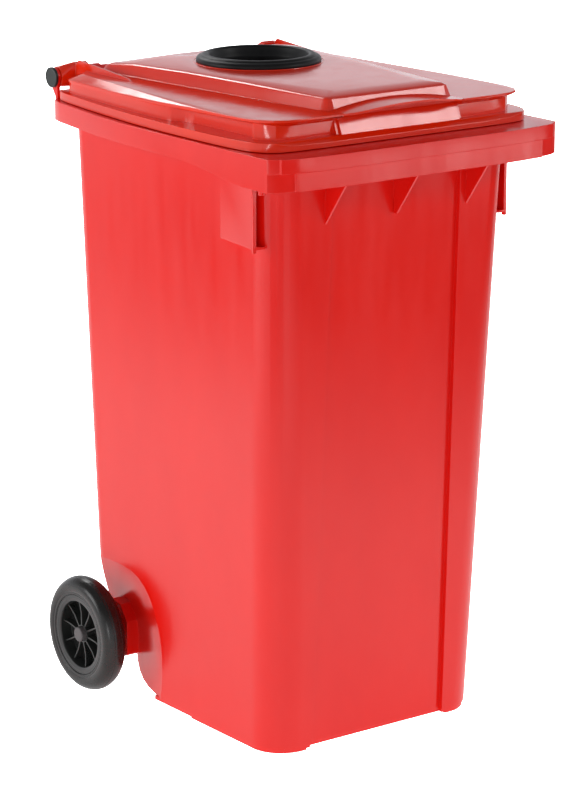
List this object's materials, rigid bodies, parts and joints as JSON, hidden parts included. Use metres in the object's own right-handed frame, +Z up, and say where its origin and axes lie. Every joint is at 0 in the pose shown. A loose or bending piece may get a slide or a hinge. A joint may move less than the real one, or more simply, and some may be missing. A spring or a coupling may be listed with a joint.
{
  "type": "wheelie bin",
  "caption": "Two-wheeled refuse bin with a tapered body, a hinged lid with a round bottle aperture, a lifting lip and a rear handle.",
  "frame": {"origin": "on the ground, under the middle of the overall box", "axes": "+Z up, the lifting lip faces -Y, wheels and handle at +Y, width along X"},
  "size_m": [0.58, 0.735, 1.0976],
  "materials": {
    "body_shell": "glossy moulded polyethylene, very fine surface ripple",
    "lid_shell": "glossy moulded polyethylene",
    "collar": "satin black rubber",
    "retainer": "plain black plastic",
    "screw": "zinc plated",
    "hinge_pin": "satin black plastic",
    "axle": "zinc plated",
    "washer": "zinc plated",
    "push_nut": "spring steel",
    "wheel_rim": "satin black plastic",
    "tyre": "smooth black rubber",
    "hub_cap": "dark grey plastic"
  },
  "bodies": {
    "bin": {"body": "body_shell", "hinge_pin_left": "hinge_pin", "hinge_pin_right": "hinge_pin", "axle": "axle", "axle_washer_left": "washer", "axle_washer_right": "washer", "push_nut_left": "push_nut", "push_nut_right": "push_nut"},
    "lid_assembly": {"lid": "lid_shell", "aperture_collar": "collar", "collar_retainer": "retainer", "collar_screw_1": "screw", "collar_screw_2": "screw", "collar_screw_3": "screw", "collar_screw_4": "screw", "collar_screw_5": "screw", "collar_screw_6": "screw"},
    "left_wheel": {"wheel_rim_left": "wheel_rim", "tyre_left": "tyre", "hub_cap_left": "hub_cap"},
    "right_wheel": {"wheel_rim_right": "wheel_rim", "tyre_right": "tyre", "hub_cap_right": "hub_cap"}
  },
  "joints": [
    {"name": "lid_hinge", "type": "hinge", "parent": "bin", "child": "lid_assembly", "pos_m": [0, 0.336, 1.0465], "axis": [-1, 0, 0], "range_deg": [0, 255]},
    {"name": "left_wheel_spin", "type": "hinge", "parent": "bin", "child": "left_wheel", "pos_m": [-0.268, 0.2185, 0.1], "axis": [1, 0, 0], "continuous": true},
    {"name": "right_wheel_spin", "type": "hinge", "parent": "bin", "child": "right_wheel", "pos_m": [0.268, 0.2185, 0.1], "axis": [1, 0, 0], "continuous": true}
  ]
}
